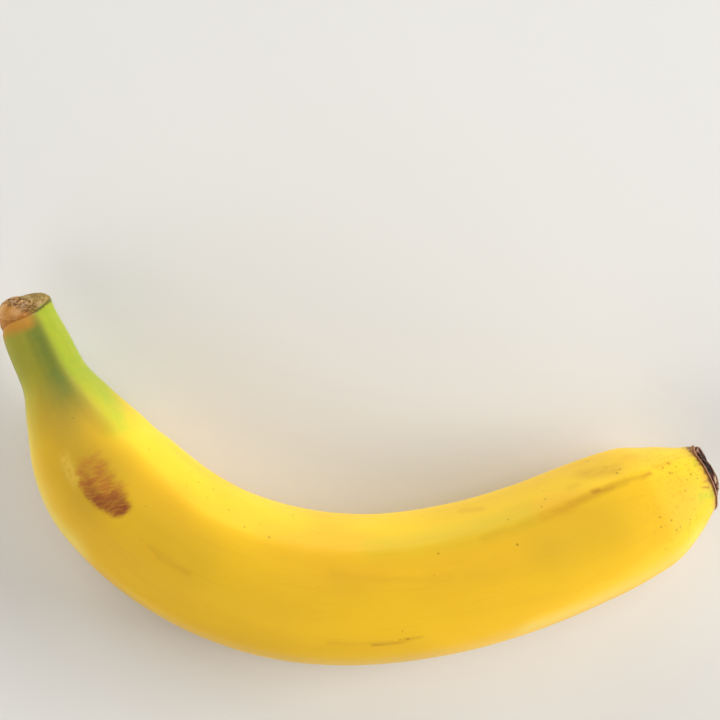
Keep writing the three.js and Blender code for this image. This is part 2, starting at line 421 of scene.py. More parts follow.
# The bruise is a rounded oblong: its middle, where its length points, and half its length and width.
# Its edge is sharp and dark at its end and on the outside of the bend, and fades out elsewhere
BRUISE_MIDDLE = (56.0, -6)
BRUISE_TOWARDS = (66, -9)
BRUISE_HALF = (9.3, 5.2)
BRUISE_ROUNDNESS = 2.6
BRUISE_DEPTH = 0.2
BRUISE_LUMPS = {"height": 0.06, "size": 1.4, "seed": 7}
# Its scratches run aslant: their size down and across the fruit, and how many mm down the spine they go
# for each mm towards the inside of the bend
SCRATCH_SIZE = (0.6, 3.0, 3.0)
SCRATCH_SLANT = 0.45
SCRATCH_WANDER = {"height": 0.45, "size": (2.5, 1.6, 1.6), "seed": 34}


def bruised(straight):
    """How bruised each place is, how dark its core is there, how pale the rubbed peel beside it is, and
    where its scratches are drawn."""
    middle, ahead = place_on_peel(*BRUISE_MIDDLE), place_on_peel(*BRUISE_TOWARDS)
    down = (ahead - middle) / np.linalg.norm(ahead - middle)
    outward = np.array([0, *(middle[1:] / np.linalg.norm(middle[1:]))])
    inside = np.cross(outward, down)
    inside *= np.sign(inside[1])
    offset = straight - middle
    along = offset @ down / BRUISE_HALF[0]
    across = offset @ inside / BRUISE_HALF[1]
    same_side = straight @ outward > 0
    spread = np.abs(along) ** BRUISE_ROUNDNESS + np.abs(across) ** BRUISE_ROUNDNESS
    spread = spread ** (1 / BRUISE_ROUNDNESS)
    sharp = eased(-0.5, 0.6, (0.8 * along - across) / np.maximum(np.hypot(along, across), 0.3))
    worn = 0.2 * lumps(straight, (1.6, 4.5, 4.5), 9) * (1 - 0.6 * sharp)
    frayed = spread + worn + 0.05 * lumps(straight, 1.5, 6)
    bruise = same_side * (1 - eased(0.2 + 0.62 * sharp, 1.04, frayed))
    core = bruise * sharp * eased(0.05, 0.7, spread + worn) * eased(-0.65, 0.35, along + worn)
    beside = eased(-1.4, -1.15, across) * (1 - eased(-0.85, -0.55, across))
    halo = same_side * beside * eased(-1.3, -1.0, along) * (1 - eased(-0.6, -0.1, along))
    aslant = straight.copy()
    aslant[..., 0] += bumps(straight, SCRATCH_WANDER) - SCRATCH_SLANT * straight[..., 1]
    return {"bruise": bruise, "bruise_core": core, "halo": halo, "scratched": aslant / SCRATCH_SIZE}


def marked(straight):
    """How strongly each place bears each kind of mark."""
    bent = straight + MARK_WANDER["height"] * wander(straight, MARK_WANDER["size"], MARK_WANDER["seeds"])
    fields = {}
    for name, marks in MARKS.items():
        fields[name] = np.zeros(straight.shape[:-1])
        for start, end, width, strength in marks:
            fields[name] = np.maximum(fields[name], strength * stroke(bent, start, end, width))
    return fields


def greened(distance, straight, in_side):
    """How green each place is, and how dull the green is there: partly its own olive and partly painted
    shade.
    """
    inside = eased(*GREEN_INSIDE, in_side)
    drifted = distance + bumps(straight, GREEN_EDGE) - GREEN_FURTHER * inside
    green = 1 - eased(GREEN_REACH - GREEN_FADE[0], GREEN_REACH + GREEN_FADE[1], drifted)
    dull_and_shade_along = eased(*DULL_AND_SHADE_REACH[:2], distance) * (1 - eased(*DULL_AND_SHADE_REACH[2:], distance))
    outer = DULL_AND_SHADE_SPREAD["outer"] - DULL_AND_SHADE_SPREAD["further"] * eased(*DULL_AND_SHADE_SPREAD["reach"], distance)
    least = DULL_AND_SHADE_SPREAD["least"]
    dull_and_shade_across = (least + (1 - least) * eased(outer, DULL_AND_SHADE_SPREAD["inner"], in_side)) * (1 - inside)
    return {"green": green, "dull": dull_and_shade_along * dull_and_shade_across}


def peel_relief(distance, angle, facts):
    """What the bumps, the crease, the bruise and the corner of the cut add to the radius, in mm."""
    straight, from_crease, bruise = facts["straight"], facts["from_crease"], facts["bruise"]
    from_spine_end = distance - LENGTH
    parts = {
        "everywhere": 1,
        "neck": 1 - eased(*NECK_END, distance),
        "tip": eased(*TIP_START, from_spine_end),
        "under_cork": 1 - eased(*UNDER_CORK_END, from_crease),
        "dried_ends": eased(*DRIED_TIP_START, from_spine_end) + 1 - eased(*COLLAR_END, from_crease),
        "beside_lip": eased(*BESIDE_LIP_START, from_spine_end),
    }
    relief = np.zeros_like(distance)
    for part, height, (down, across), seed in PEEL_BUMPS:
        relief += height * parts[part] * lumps(straight, (down, across, across), seed)
    relief -= CREASE_DEPTH * np.exp(-((from_crease / CREASE_WIDTH) ** 2))
    relief -= CORK_SEAT["depth"] * eased(*CORK_SEAT["reach"], facts["below_rim"])
    dent = BRUISE_DEPTH + bumps(straight, BRUISE_LUMPS)
    return relief + corner_flare(distance, angle) - bruise * dent


def peel_rings():
    """For each ring of the peel, how far it is below the rim, its share of the radius, how far it stands over
    the lip's seat, and 1 before the lip or 0 on it."""
    places = [PEEL_START]
    while places[-1] < PEEL_END:
        from_end = min(places[-1] - PEEL_START, PEEL_END - places[-1])
        step = PEEL_STEP["least"] + PEEL_STEP["growth"] * from_end
        places.append(places[-1] + min(step, PEEL_STEP["most"]))
    places[-1] = PEEL_END
    steps = np.linspace(0, len(LIP) - 1, LIP_RINGS + 1)[1:]
    shares, rises = (smooth_curve(range(len(LIP)), column)(steps) for column in zip(*LIP))
    below = np.concatenate([places, np.full(LIP_RINGS, PEEL_END)])
    share = np.concatenate([np.ones(len(places)), shares])
    rise = np.concatenate([np.zeros(len(places)), rises])
    on_body = np.concatenate([np.ones(len(places)), np.zeros(LIP_RINGS)])
    return below[:, None], share[:, None], rise[:, None], on_body[:, None]


def peel_grid():
    """The peel's smooth form, what its relief adds to the radius in mm, and what it tells the material."""
    below, share, rise, on_body = peel_rings()
    turn = turns_round(PEEL_SECTORS)
    angle, _ = section(below + 0 * turn, turn)
    slanted_cut = rim_below(angle, 1) * np.clip(1 - below / CUT_FADE, 0, 1)
    slanted_lip = lip_beyond(angle) * eased(PEEL_END - LIP_FADE, PEEL_END, below)
    place = CUT_AT + below + slanted_cut + slanted_lip
    distance = place + rise
    angle, radius = section(place, turn)
    radius = radius * share
    straight = straightened(distance, angle, radius)
    steps_in = LIP_RADIUS * np.diff(share, axis=0, prepend=1)
    past_lip = np.cumsum(np.hypot(np.diff(rise, axis=0, prepend=0), steps_in), 0)
    facts = {
        "straight": straight,
        "below_rim": below + 0 * angle,
        "from_crease": below - crease_below(angle),
        "from_lip": (PEEL_END - below) * on_body - past_lip * (1 - on_body) + 0 * angle,
        "in_side": np.sin(angle),
        **greened(distance, straight, np.sin(angle)),
        **marked(straight),
        **bruised(straight),
    }
    return distance, angle, radius, peel_relief(distance, angle, facts), facts


# The cork's fibres and lumps: their height, their size along the spine and across it, and their seed. The
# fibres are bent by a swirl
CORK_SWIRL = {"size": 3.0, "seeds": (12, 13, 14)}
CORK_THREADS = {"height": 0.16, "size": (1.3, 0.75, 1.7), "seed": 15, "bent": 1.3}
CORK_FINE_THREADS = {"height": 0.08, "size": (0.7, 0.5, 1.0), "seed": 16, "bent": 0.8}
CORK_LUMPS = {"height": 0.22, "size": 4.5, "seed": 17}
COLLAR_RIPPLES = {"height": 0.1, "size": (1.2, 1.2, 2.4), "seed": 18}
CORK_RAGGED = {"size": 1.1, "seed": 11}


def cork_grid():
    """The cork over the cut, from its middle to its edge, which turns in over the peel."""
    top_rings = CORK_RINGS - HEM_RINGS
    out = np.sin(np.linspace(0.01, 1, top_rings) * math.pi / 2)
    share = np.concatenate([out, np.ones(HEM_RINGS)])[:, None]
    hem = np.concatenate([np.zeros(top_rings), np.linspace(0, 1, HEM_RINGS + 1)[1:]])[:, None]
    turn = turns_round(END_SECTORS)
    angle, _ = section(np.zeros((len(share), 1)) + 0 * turn, turn)
    distance = cork_places(share, angle)
    angle, radius = section(distance, turn)
    radius = radius * share
    flat = straightened(distance, angle, radius)
    ragged = lumps(flat, CORK_RAGGED["size"], CORK_RAGGED["seed"])
    swirl = wander(flat, CORK_SWIRL["size"], CORK_SWIRL["seeds"])
    threads, fine = (fibres(flat, kind, swirl) for kind in (CORK_THREADS, CORK_FINE_THREADS))
    # towards the outside of the bend the fibres end short of the edge, under a smooth collar
    underneath = COLLAR_UNDERNEATH * eased(0.7, -0.2, np.cos(angle))
    start = COLLAR_START + COLLAR_SLANT * np.sin(angle) + underneath
    collar = eased(-0.12, 0.14, share - start + 0.07 * ragged)
    relief = CORK_THREADS["height"] * (threads - 0.5) + CORK_FINE_THREADS["height"] * (fine - 0.5)
    relief *= 1 - collar
    relief += bumps(flat, CORK_LUMPS) + collar * bumps(flat, COLLAR_RIPPLES)
    outward = share**6
    shoulder = CORK_ASKEW * share * (1 - share**4) * np.clip(-np.sin(angle), 0, 1)
    from_crown = np.hypot(flat[..., 1] - CORK_CROWN["inward"], flat[..., 2]) / CORK_CROWN["width"]
    crown = CORK_CROWN["height"] * np.exp(-(from_crown**2))
    turned_back = hem * (CORK_HEM["back"] + CORK_HEM["ragged"] * ragged)
    lift = turned_back - relief * (1 - outward) - shoulder - crown
    swell = relief * outward - 0.1 * share**2 - CORK_HEM["inwards"] * hem**2
    swell += corner_flare(distance, angle) * share**2
    facts = {
        "raised": 0.6 * threads + 0.4 * fine,
        "collar": collar,
        "rim": share**8 + 0 * angle,
        "hem": hem + 0 * angle,
        "in_side": np.sin(angle),
    }
    return distance, angle, radius, lift, swell, share, facts


# The stump's folds run round it, with finer ones crumpled across them: height, size, seed and how far they
# are bent. Round the stump, a fold's place is counted on a circle of the radius given last
STUMP_FOLDS = {"height": 0.6, "size": (1.7, 4.5, 4.5), "seed": 24, "bent": 1.1}
STUMP_CRUMPLE = {"height": 0.3, "size": (1.5, 0.8, 0.8), "seed": 25, "bent": 1.0}
STUMP_LUMPS = {"height": 0.4, "size": 5, "seed": 26}
STUMP_SWIRL = {"size": 4, "seeds": (21, 22, 23)}
STUMP_FOLD_CIRCLE = 6


def stump_grid():
    """The dried stump inside the lip, crumpled, from under the lip to its middle."""
    steps = np.linspace(0, len(STUMP) - 1, STUMP_RINGS)
    share, rise = (smooth_curve(range(len(STUMP)), column)(steps)[:, None] for column in zip(*STUMP))
    turn = turns_round(END_SECTORS)
    angle, _ = section(np.full_like(rise + turn, LENGTH - LIP_AT), turn)
    # its seat is as slanted as the lip at its edge, and level in its middle
    seat = LENGTH - LIP_AT + lip_beyond(angle) * np.clip(share / STUMP[0][0], 0, 1) ** 1.5
    distance = seat + rise
    angle, radius = section(seat, turn)
    radius = radius * share
    flat = straightened(distance, angle, radius)
    swirl = wander(flat, STUMP_SWIRL["size"], STUMP_SWIRL["seeds"])
    rolled = np.stack([radius, STUMP_FOLD_CIRCLE * np.cos(angle), STUMP_FOLD_CIRCLE * np.sin(angle)], -1)
    folds = fibres(rolled, STUMP_FOLDS, swirl)
    crumple = fibres(flat, STUMP_CRUMPLE, swirl)
    relief = STUMP_FOLDS["height"] * (folds - 0.5) + STUMP_CRUMPLE["height"] * (crumple - 0.5)
    relief += bumps(flat, STUMP_LUMPS)
    relief *= eased(0, 1.2, steps)[:, None]
    facing_on = eased(0.5, 0.9, 1 - share)
    lift = relief * facing_on
    swell = relief * (1 - facing_on)
    return distance, angle, radius, lift, swell, share, {"raised": 0.6 * folds + 0.4 * crumple}


def solid_reach():
    """Points of the solid that reach furthest: its cork, rings down its body, and the blossom end's lip."""
    turn = turns_round(PEEL_SECTORS)
    share = np.linspace(0.1, 1, CORK_REACH_RINGS)[:, None]
    cork_angle, _ = section(CUT_AT + 0 * share + 0 * turn, turn)
    body = np.linspace(CUT_FADE, LENGTH + SOLID_LIP_HEIGHT, BODY_REACH_RINGS)[:, None] + 0 * turn
    rings = np.concatenate([cork_places(share, cork_angle), body])
    share = np.concatenate([share, np.ones((len(body), 1))])
    angle, radius = section(rings, turn)
    return leant(strung(rings, angle, radius * share)).reshape(-1, 3)


# Meshes

def fill_attribute(mesh, name, values):
    kind, field = ("FLOAT_VECTOR", "vector") if values.ndim == 3 else ("FLOAT", "value")
    made = mesh.attributes.new(name, kind, "POINT")
    made.data.foreach_set(field, np.ascontiguousarray(values, np.float32).ravel())


MAP_RADIUS = 0.48


def skin(name, points, facts, flat_map=None):
    """A smooth mesh over a grid of points in mm, rings by sectors, joined round, with a flat map to draw its
    colours on. The map is the grid itself, or a disc where the grid closes to a point."""
    rings, sectors = points.shape[:2]
    ring, sector = (part.ravel() for part in np.mgrid[0 : rings - 1, 0:sectors])
    beside = (sector + 1) % sectors
    here, next_ring = ring * sectors, (ring + 1) * sectors
    corners = [here + sector, here + beside, next_ring + beside, next_ring + sector]
    mesh = bpy.data.meshes.new(name)
    mesh.from_pydata((points.reshape(-1, 3) * MM).tolist(), [], np.stack(corners, -1).tolist())
    for fact, values in facts.items():
        fill_attribute(mesh, fact, values)
    across = np.stack([sector, sector + 1, sector + 1, sector], -1) / sectors
    down = np.stack([ring, ring, ring + 1, ring + 1], -1) / (rings - 1)
    if flat_map is not None:
        out = MAP_RADIUS * flat_map[(down * (rings - 1)).astype(int), 0]
        across, down = 0.5 + out * np.cos(2 * np.pi * across), 0.5 + out * np.sin(2 * np.pi * across)
    uv = mesh.uv_layers.new(name="OFBake")
    uv.data.foreach_set("uv", np.stack([down, across], -1).astype(np.float32).ravel())
    mesh.polygons.foreach_set("use_smooth", [True] * len(mesh.polygons))
    mesh.update()
    made = bpy.data.objects.new(name, mesh)
    bpy.context.scene.collection.objects.link(made)
    return made


def laid_down(points, offset):
    """On the floor, with nothing under it."""
    moved = leant(points) + offset
    moved[..., 2] = np.clip(moved[..., 2], 0, None)
    return moved


def with_material(piece, material):
    piece.data.materials.append(material)
    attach(piece, BODY)
    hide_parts(NODE)


# Materials

def linear(code):
    """An sRGB hex colour as linear RGBA."""
    channels = []
    for start in (1, 3, 5):
        channel = int(code[start : start + 2], 16) / 255
        channels.append(channel / 12.92 if channel <= 0.04045 else ((channel + 0.055) / 1.055) ** 2.4)
    return (*channels, 1)


def new_material(name):
    """An empty material, a function that adds a node to it with its settings and links and gives back one of
    the node's outputs, and a function that fills in the surface."""
    material = bpy.data.materials.new(name)
    material.use_nodes = True
    tree = material.node_tree

    def fill(node, inputs):
        for key, value in inputs.items():
            if isinstance(value, bpy.types.NodeSocket):
                tree.links.new(value, node.inputs[key])
            else:
                node.inputs[key].default_value = value

    def add(kind, settings, inputs, output=0):
        node = tree.nodes.new("ShaderNode" + kind)
        for setting, value in settings.items():
            setattr(node, setting, value)
        fill(node, inputs)
        return node.outputs[output]

    def set_surface(values):
        fill(tree.nodes["Principled BSDF"], values)

    return material, add, set_surface


def fill_ramp(ramp, stops):
    """Sets the stops of a colour ramp, each a position and a colour."""
    for element, (position, code) in zip(ramp.elements, (stops[0], stops[-1])):
        element.position = position
        element.color = linear(code)
    for position, code in stops[1:-1]:
        ramp.elements.new(position).color = linear(code)


SMOOTH = {"interpolation_type": "SMOOTHSTEP"}
MIX = {"data_type": "RGBA"}
MIX_FACTOR, MIX_A, MIX_B, MIX_RESULT = 0, 6, 7, 2

PEEL_FACTS = (
    "green", "greenish", "dull", "ochre", "pale", "brown", "bruise", "bruise_core", "halo", "below_rim",
    "from_crease", "from_lip", "in_side",
)
# Noise over the peel: the size of its clouds in mm down and across the fruit, and its detail. The grain
# stands for the pores, which are too fine to show, so it is drawn as coarse as it needs to be
PEEL_CLOUDS = {
    "broad": (34, 15, 2),
    "drifts": (26, 26, 2),
    "streaks": (22, 1.3, 3),
    "smears": (5.0, 1.2, 4),
    "mottle": (2.2, 2.2, 4),
    "frayed": (2.0, 0.9, 3),
    "ragged": (1.4, 0.7, 4),
    "blotches": (0.9, 0.9, 3),
    "strokes": (0.8, 3.2, 3),
    "grain": (0.55, 0.55, 2),
}
# Distances that change towards one side: from which, between which values of in_side, and by how many mm.
# The scorch reaches further down on the side that lies up, and the peel browns further back from the lip on
# the inside of the bend
PEEL_LEANINGS = {
    "to_scorch": ("from_crease", -0.9, -0.3, -1.8),
    "to_browning": ("from_lip", 0.5, 0.95, -0.9),
}
# Distances whose contours are bent by noise: which, by which noise, and by how many mm
PEEL_BENDS = {
    "torn_crease": ("from_crease", "ragged", 0.9),
    "torn_scorch": ("to_scorch", "broad", 1.5),
    "torn_rim": ("below_rim", "ragged", 1.2),
    "torn_browning": ("to_browning", "frayed", 1.4),
    "torn_lip": ("from_lip", "mottle", 0.5),
}
# How far each place is off a thin line: at which distance the line lies
PEEL_LINES = {
    "off_crease": ("torn_crease", 0.0),
    "off_cork_edge": ("torn_rim", 1.7),
    "off_lip_line": ("torn_lip", -0.5),
}
# Shares from 0 to 1 that are products of parts. A part is a number, the name of a value, or a name with two
# limits of the value, between which the part goes softly from 0 to 1 or from one given share to another
PEEL_SHARES = {
    "fine_specks": [("scatter", 0.085, 0.05), ("scatter_kind", 0.72, 0.78)],
    "collar": [("torn_crease", 0.3, -0.3)],
    "outside": [("in_side", 0.5, 0.0)],
    "lip": [("from_lip", 0.15, -0.15)],
}
# The finest specks are scattered at random, a few mm apart and in drifts. A real one is about 0.2 mm across,
# too fine to show, so they are drawn up to 0.6 mm across
SCATTER_SPACING = 3.6
# The edge of a speck is bent by noise of this size, by this much
SPECK_BEND = {"size": 0.5, "height": 0.5}
SPECK_EDGE = (0.7, 0.25)  # where a speck starts and is full, as shares of its diameter

RIPE_YELLOW = "#E6B724"
# The colours laid over the yellow, one after the other, each with the parts of its share
PEEL_COATS = (
    # lemon on the inside of the bend, the side most lit, partly the peel's tone and partly painted light; and
    # deeper in clouds and streaks
    ("#E6C62A", ("in_side", 0.2, 0.6, 0.0, 0.4)),
    ("#DEAD26", ("broad", 0.35, 0.7, 0.0, 0.9)),
    ("#D2A026", ("streaks", 0.5, 0.75, 0.0, 0.16)),
    # ochre marks that are partly painted shade, pale marks that are a painted rim light, greenish marks, and
    # the green of the stem
    ("#BA962C", "ochre", ("broad", 0.3, 0.7, 0.85, 1.0)),
    # the pale coat is a painted rim light
    ("#E2CC62", "pale", ("broad", 0.3, 0.7, 0.8, 1.0)),
    ("#AEB428", "greenish", ("smears", 0.25, 0.6, 0.6, 1.0)),
    ("#899924", "green", ("mottle", 0.2, 0.8, 0.88, 1.0)),
    ("#A09738", "green", ("in_side", 0.56, 0.28), 0.75),
    # the dull olive beside the upper ridge: partly the green's own colour, partly painted shade
    ("#68742E", "dull", ("mottle", 0.2, 0.8, 0.85, 1.0)),
    # the bruise, brown marks and specks
    ("#E2BC4C", "halo", ("ragged", 0.35, 0.6, 0.2, 0.7)),
    ("#A4681E", "brown", ("smears", 0.3, 0.62, 0.55, 1.0)),
    ("#B66C2C", "bruise", ("scratches", 0.35, 0.62, 0.4, 0.9)),
    ("#8E4A24", "bruise_core", ("scratches", 0.3, 0.6, 0.55, 0.95)),
    ("#B0801E", ("blotches", 0.55, 0.68), ("from_lip", 26, 8, 0.0, 0.32)),
    ("#9E761A", "fine_specks", ("drifts", 0.42, 0.62, 0.15, 1.0), 0.5),
    ("#74540E", "specks", 0.52),
    # the scorched peel below the cork, and the dried collar, olive on the inside of the bend
    ("#BC8030", ("torn_scorch", 4.4, 0.5), "outside", ("strokes", 0.25, 0.7, 0.8, 0.95)),
    ("#B27A3C", "collar"),
    ("#6E5A2C", "collar", ("in_side", 0.0, 0.45)),
    ("#9C6830", "collar", ("ragged", 0.45, 0.62), 0.45),
    # the crease, and the dark edge under the cork
    ("#9C5C20", ("off_crease", 0.8, 0.16), "outside", 0.45),
    ("#57461A", ("in_side", 0.2, 0.5), ("off_cork_edge", 0.85, 0.17), 0.9),
    # the browned peel before the lip, the lip with a pale, worn line, and its dark inside
    ("#A88632", ("torn_browning", 2.4, 0.3, 0.0, 0.6)),
    ("#70421F", ("torn_browning", 0.75, 0.1, 0.0, 0.9)),
    ("#7C4A30", ("from_lip", -0.3, -0.5)),
    ("#B48A70", ("off_lip_line", 0.32, 0.064), ("broad", 0.3, 0.6, 0.4, 0.8)),
    ("#3A2018", ("from_lip", -0.9, -1.3)),
)


def peel_values(add):
    """What the peel's coats go by: the facts of its points, noise, and distances bent by it, all by name."""
    straight = add("Attribute", {"attribute_name": "straight"}, {}, "Vector")
    scratched = add("Attribute", {"attribute_name": "scratched"}, {}, "Vector")
    values = {"straight": straight}
    for name in PEEL_FACTS:
        values[name] = add("Attribute", {"attribute_name": name}, {}, "Fac")
    for name, (down, across, detail) in PEEL_CLOUDS.items():
        scale = (1 / down, 1 / across, 1 / across)
        places = add("VectorMath", {"operation": "MULTIPLY"}, {0: straight, 1: scale})
        values[name] = add("TexNoise", {}, {"Vector": places, "Scale": 1.0, "Detail": detail})
    values["scratches"] = add("TexNoise", {}, {"Vector": scratched, "Scale": 1.0, "Detail": 3.0})
    for name, (distance, low, high, amount) in PEEL_LEANINGS.items():
        limits = {"Value": values["in_side"], "From Min": low, "From Max": high}
        side = add("MapRange", SMOOTH, limits)
        values[name] = add("Math", {"operation": "MULTIPLY_ADD"}, {0: side, 1: amount, 2: values[distance]})
    for name, (distance, noise_name, amount) in PEEL_BENDS.items():
        centred = add("Math", {"operation": "SUBTRACT"}, {0: values[noise_name], 1: 0.5})
        bent = {0: centred, 1: amount, 2: values[distance]}
        values[name] = add("Math", {"operation": "MULTIPLY_ADD"}, bent)
    for name, (distance, line) in PEEL_LINES.items():
        off = add("Math", {"operation": "SUBTRACT"}, {0: values[distance], 1: line})
        values[name] = add("Math", {"operation": "ABSOLUTE"}, {0: off})
    cells = {"Vector": straight, "Scale": 1 / SCATTER_SPACING, "Randomness": 1.0}
    values["scatter"] = add("TexVoronoi", {"feature": "F1"}, cells, "Distance")
    kind = values["scatter"].node.outputs["Color"]
    values["scatter_kind"] = add("SeparateColor", {}, {0: kind})
    return values


def speckled(add, straight):
    """A round spot at the place of each speck, with a bent edge."""
    bend = add("TexNoise", {}, {"Vector": straight, "Scale": 1 / SPECK_BEND["size"], "Detail": 2.0}, "Color")
    amount = SPECK_BEND["height"]
    bent = add("VectorMath", {"operation": "MULTIPLY_ADD"}, {0: bend, 1: (amount,) * 3, 2: straight})
    specks = 0.0
    for distance, degrees, diameter in SPECKS:
        centre = tuple(place_on_peel(distance, degrees) + amount / 2)
        gap = add("VectorMath", {"operation": "DISTANCE"}, {0: bent, 1: centre}, "Value")
        start, full = (diameter * share for share in SPECK_EDGE)
        limits = {"Value": gap, "From Min": start, "From Max": full}
        spot = add("MapRange", SMOOTH, limits)
        specks = add("Math", {"operation": "MAXIMUM"}, {0: specks, 1: spot})
    return specks


def banana_skin():
    """Fresh banana peel: a skin grown smooth, with a thin bloom of natural wax. The wax gives a broad, soft
    shine with no sharp highlight, and a faint, pale sheen where the peel is seen at a slant. The yellow under
    it is deep and almost without blue."""
    material, add, set_surface = new_material("banana_skin")
    values = peel_values(add)
    values["specks"] = speckled(add, values["straight"])

    def product(parts):
        """The product of the parts of a share."""
        result = None
        for part in parts:
            if isinstance(part, tuple):
                name, low, high, *shares = part
                from_share, to_share = shares or (0.0, 1.0)
                limits = {"From Min": low, "From Max": high, "To Min": from_share, "To Max": to_share}
                part = add("MapRange", SMOOTH, {"Value": values[name], **limits})
            elif isinstance(part, str):
                part = values[part]
            if result is None:
                result = part
            else:
                result = add("Math", {"operation": "MULTIPLY", "use_clamp": True}, {0: result, 1: part})
        return result

    for name, parts in PEEL_SHARES.items():
        values[name] = product(parts)
    colour = linear(RIPE_YELLOW)
    for tint, *parts in PEEL_COATS:
        mixed = {MIX_FACTOR: product(parts), MIX_A: colour, MIX_B: linear(tint)}
        colour = add("Mix", MIX, mixed, MIX_RESULT)

    # the dried ends and the bruise's core are rougher, and torn in relief
    values["dry"] = add("Math", {"operation": "MAXIMUM"}, {0: values["collar"], 1: values["lip"]})
    dry_roughness = product([("dry", 0.0, 1.0, 0.5, 0.78)])
    core_roughness = product([("bruise_core", 0.0, 1.0, 0.5, 0.6)])
    rough = add("Math", {"operation": "MAXIMUM"}, {0: dry_roughness, 1: core_roughness})
    worn = add("Math", {"operation": "MAXIMUM"}, {0: values["bruise"], 1: values["dry"]})
    torn = add("Math", {"operation": "MULTIPLY"}, {0: worn, 1: values["ragged"]})
    normal = add("Bump", {}, {"Height": values["grain"], "Distance": 0.02 * MM, "Strength": 0.6})
    for height, depth, strength in ((values["streaks"], 0.05, 0.6), (torn, 0.18, 0.8)):
        bump = {"Height": height, "Distance": depth * MM, "Strength": strength, "Normal": normal}
        normal = add("Bump", {}, bump)
    set_surface({
        "Base Color": colour,
        "Roughness": rough,
        "Normal": normal,
        "IOR": 1.45,
        "Specular IOR Level": 0.12,
        "Sheen Weight": 0.07,
        "Sheen Roughness": 0.5,
        "Subsurface Weight": 0.12,
        "Subsurface Radius": (1.0, 0.6, 0.15),
        "Subsurface Scale": 1.2 * MM,
    })
    return material


# Between the cork's fibres, and up to their crests
CORK_FIBRE_COLOURS = ((0.2, "#624222"), (0.5, "#8E683A"), (0.85, "#C69C66"))
# The size in mm of its patches and of its crumbs
CORK_PATCH = 2.5
CORK_CRUMB = 0.35


def callus_cork():
    """Cork that has grown over a cut stem: dead, dry cells and torn fibres. It is quite matt, pale on the
    fibres and brown between them."""
    material, add, set_surface = new_material("callus_cork")
    names = ("raised", "collar", "rim", "hem", "in_side")
    facts = [add("Attribute", {"attribute_name": name}, {}, "Fac") for name in names]
    raised, collar, rim, hem, in_side = facts
    places = add("TexCoord", {}, {}, "Object")
    patches = add("TexNoise", {}, {"Vector": places, "Scale": 1 / (CORK_PATCH * MM), "Detail": 3.0})
    crumbs = add("TexNoise", {}, {"Vector": places, "Scale": 1 / (CORK_CRUMB * MM), "Detail": 3.0})
    fibre = add("ValToRGB", {}, {0: raised})
    fill_ramp(fibre.node.color_ramp, CORK_FIBRE_COLOURS)

    # pale patches among the fibres
    pale = add("MapRange", {}, {"Value": patches, "From Min": 0.5, "From Max": 0.66, "To Max": 0.6})
    # the collar is worn pale in patches, and all along its outer edge it is painted lighter, a painted
    # highlight where it turns away
    worn = add("MapRange", {}, {"Value": patches, "From Min": 0.42, "From Max": 0.65, "To Max": 0.4})
    outer = add("MapRange", {}, {"Value": in_side, "From Min": -0.7, "From Max": -0.97, "To Max": 0.7})
    worn = add("Math", {"operation": "MAXIMUM"}, {0: worn, 1: outer})
    worn = add("Math", {"operation": "MULTIPLY"}, {0: worn, 1: collar})
    # towards the inside of the bend the cork is olive, and its edge is stained between the crumbs
    olive = add("MapRange", {}, {"Value": in_side, "From Min": 0.2, "From Max": 0.9, "To Max": 0.6})
    inside = add("MapRange", {}, {"Value": in_side, "From Min": 0.3, "From Max": 0.5})
    pits = add("MapRange", {}, {"Value": crumbs, "From Min": 0.4, "From Max": 0.6})
    stained = add("MapRange", {}, {"Value": hem, "From Min": 0.0, "From Max": 0.6, "To Min": 0.25})
    for part in (rim, inside, pits):
        stained = add("Math", {"operation": "MULTIPLY"}, {0: stained, 1: part})
    coats = (
        (pale, "#D6B488"),
        (collar, "#AC7434"),
        # worn pale patches, and a painted highlight along the collar's outer edge
        (worn, "#D0AA74"),
        (olive, "#8A7A3C"),
        (stained, "#4A3318"),
    )
    colour = fibre
    for share, tint in coats:
        colour = add("Mix", MIX, {MIX_FACTOR: share, MIX_A: colour, MIX_B: linear(tint)}, MIX_RESULT)
    normal = add("Bump", {}, {"Height": crumbs, "Distance": 0.1 * MM, "Strength": 0.7})
    set_surface({
        "Base Color": colour,
        "Roughness": 0.85,
        "Normal": normal,
        "IOR": 1.45,
        "Specular IOR Level": 0.2,
    })
    return material


# From the stump's folds up to their crests, and the size in mm of its crumbs
STUMP_COLOURS = ((0.35, "#1E0E0A"), (0.7, "#5E3122"), (1.0, "#AC8E74"))
STUMP_CRUMB = 0.5


def dried_flower():
    """The dried base of the flower: shrunken, papery tissue. It is nearly black in its folds, with worn,
    greyish tan crests, and matt all over."""
    material, add, set_surface = new_material("dried_flower")
    raised = add("Attribute", {"attribute_name": "raised"}, {}, "Fac")
    places = add("TexCoord", {}, {}, "Object")
    crumbs = add("TexNoise", {}, {"Vector": places, "Scale": 1 / (STUMP_CRUMB * MM), "Detail": 4.0})
    height = add("Math", {"operation": "MULTIPLY_ADD"}, {0: crumbs, 1: 0.35, 2: raised})
    crest = add("ValToRGB", {}, {0: height})
    fill_ramp(crest.node.color_ramp, STUMP_COLOURS)
    normal = add("Bump", {}, {"Height": crumbs, "Distance": 0.2 * MM, "Strength": 0.9})
    set_surface({
        "Base Color": crest,
        "Roughness": 0.8,
        "Normal": normal,
        "IOR": 1.45,
        "Specular IOR Level": 0.3,
    })
    return material


def painted_floor():
    """Smooth matt white paint, rolled on a flat board. It gives a soft, even ground with no shine."""
    material, _, set_surface = new_material("painted_floor")
    set_surface({"Base Color": linear("#DCDAD5"), "Roughness": 0.9, "IOR": 1.45})
    return material


# The banana

